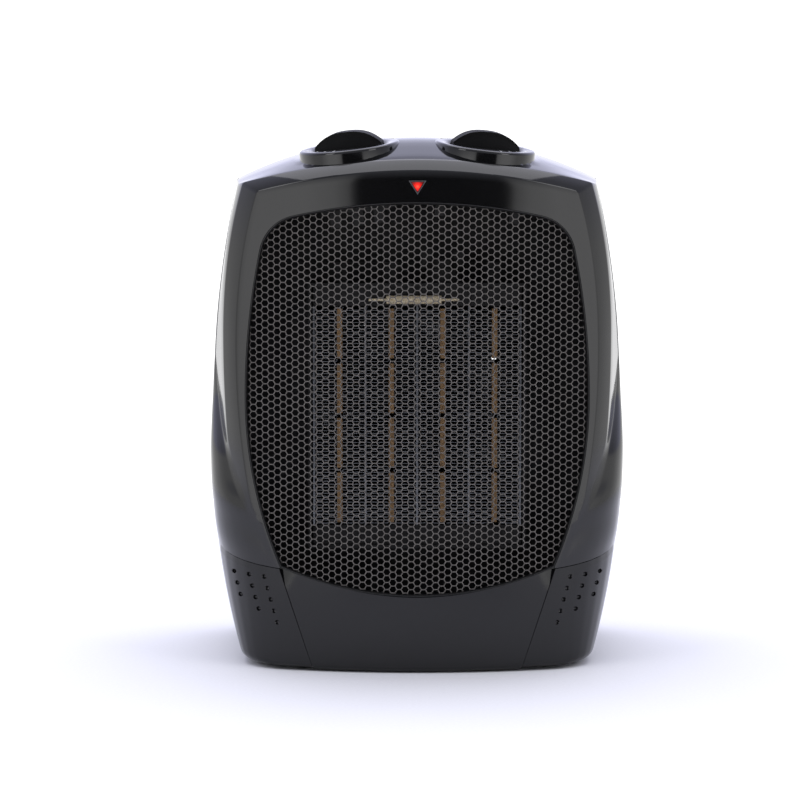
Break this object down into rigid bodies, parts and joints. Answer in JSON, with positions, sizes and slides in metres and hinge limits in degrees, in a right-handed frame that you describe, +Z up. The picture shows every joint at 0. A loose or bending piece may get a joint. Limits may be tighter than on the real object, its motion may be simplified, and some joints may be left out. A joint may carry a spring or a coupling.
{
  "type": "ceramic space heater",
  "caption": "Upright fan heater: bowed gloss black case, honeycomb grille over a ceramic element, top dials, tip-over switch in the base.",
  "frame": {"origin": "centre of the footprint, on the plane the feet rest on", "axes": "+Z up, the grille faces -Y, +X to the right when looking at the rear of the row from the front"},
  "size_m": [0.19, 0.15, 0.2439],
  "materials": {
    "case_gloss": "high-gloss moulded ABS",
    "case_rear": "fine-grained moulded ABS",
    "bezel_black": "satin moulded plastic",
    "mesh_grey": "satin heat-resistant plastic mesh",
    "ring_gloss": "high-gloss moulded ABS",
    "knob_matte": "satin moulded ABS",
    "lens_red": "clear red polycarbonate",
    "lamp_glow": "glass neon lamp",
    "foot_rubber": "moulded rubber",
    "screw_steel": "zinc-plated",
    "gland_rubber": "soft PVC",
    "stone_ceramic": "barium titanate ceramic, unglazed",
    "fin_aluminium": "thin rolled sheet",
    "plate_aluminium": "rolled sheet",
    "cap_resin": "glass-filled resin",
    "terminal_brass": "stamped sheet",
    "duct_steel": "galvanised sheet",
    "fuse_sleeve": "woven glass sleeve",
    "cutout_resin": "phenolic",
    "shroud_plastic": "moulded, heat resistant",
    "impeller_plastic": "moulded nylon",
    "shaft_steel": "ground",
    "rotor_aluminium": "die-cast and turned",
    "lamination_steel": "stacked laminations",
    "bobbin_nylon": "moulded nylon",
    "winding_copper": "enamelled copper wire under tape",
    "bridge_zinc": "die-cast zinc",
    "bush_bronze": "sintered bronze",
    "switch_plastic": "moulded nylon",
    "thermostat_steatite": "pressed steatite and stamped sheet",
    "plunger_red": "moulded acetal",
    "spring_steel": "drawn wire and rolled strip",
    "micro_black": "moulded nylon"
  },
  "bodies": {
    "housing": {"front_shell": "case_gloss", "rear_shell": "case_rear", "base_tub": "case_gloss", "tongue_panel": "case_gloss", "grille_bezel": "bezel_black", "front_grille": "mesh_grey", "dial_ring_left": "ring_gloss", "dial_ring_right": "ring_gloss", "indicator_lens": "lens_red", "indicator_lamp": "lamp_glow", "rubber_feet": "foot_rubber", "base_screws": "screw_steel", "case_screws": "screw_steel", "cord_gland": "gland_rubber", "ptc_stones": "stone_ceramic", "heater_fins": "fin_aluminium", "divider_plates": "plate_aluminium", "element_cap_upper": "cap_resin", "element_cap_lower": "cap_resin", "element_terminals": "terminal_brass", "heat_duct": "duct_steel", "thermal_fuse": "fuse_sleeve", "thermal_cutout": "cutout_resin", "fan_shroud": "shroud_plastic", "fan_spider": "shroud_plastic", "motor_stator": "lamination_steel", "motor_bobbin": "bobbin_nylon", "motor_winding": "winding_copper", "front_bearing_bridge": "bridge_zinc", "rear_bearing_bridge": "bridge_zinc", "bearing_bushes": "bush_bronze", "motor_screws": "screw_steel", "mode_switch": "switch_plastic", "thermostat_body": "thermostat_steatite", "control_nuts": "screw_steel", "terminal_block": "switch_plastic", "tipover_housing": "switch_plastic", "tipover_spring": "spring_steel", "tipover_switch": "micro_black", "duct_screws": "screw_steel"},
    "mode_dial": {"mode_knob": "knob_matte", "mode_spindle": "shaft_steel"},
    "thermostat_dial": {"thermostat_knob": "knob_matte", "thermostat_spindle": "shaft_steel"},
    "fan_rotor": {"fan_impeller": "impeller_plastic", "motor_shaft": "shaft_steel", "motor_rotor": "rotor_aluminium"},
    "tip_plunger": {"tipover_plunger": "plunger_red"},
    "tip_lever": {"tipover_lever": "spring_steel"}
  },
  "joints": [
    {"name": "mode_dial_turn", "type": "hinge", "parent": "housing", "child": "mode_dial", "pos_m": [-0.03, -0.044, 0.23001], "axis": [-0.1128, -0.0872, 0.9898], "range_deg": [-135, 0]},
    {"name": "thermostat_dial_turn", "type": "hinge", "parent": "housing", "child": "thermostat_dial", "pos_m": [0.03, -0.044, 0.23001], "axis": [0.1128, -0.0872, 0.9898], "range_deg": [-150, 120]},
    {"name": "fan_spin", "type": "hinge", "parent": "housing", "child": "fan_rotor", "pos_m": [0, -0.015, 0.114], "axis": [0, 1, 0], "continuous": true},
    {"name": "tip_plunger_slide", "type": "slide", "parent": "housing", "child": "tip_plunger", "axis": [0, 0, -1], "range_m": [0, 0.006], "stiffness_N_per_m": 60, "springref_m": 0.01, "deforming": ["tipover_spring"]},
    {"name": "tip_lever_swing", "type": "hinge", "parent": "housing", "child": "tip_lever", "pos_m": [0.016, 0.015, 0.0334], "axis": [0, 1, 0], "range_deg": [0, 15.6]}
  ],
  "couplings": [
    {"joint": "tip_lever_swing", "follows": "tip_plunger_slide", "rad_per_m": 45}
  ]
}
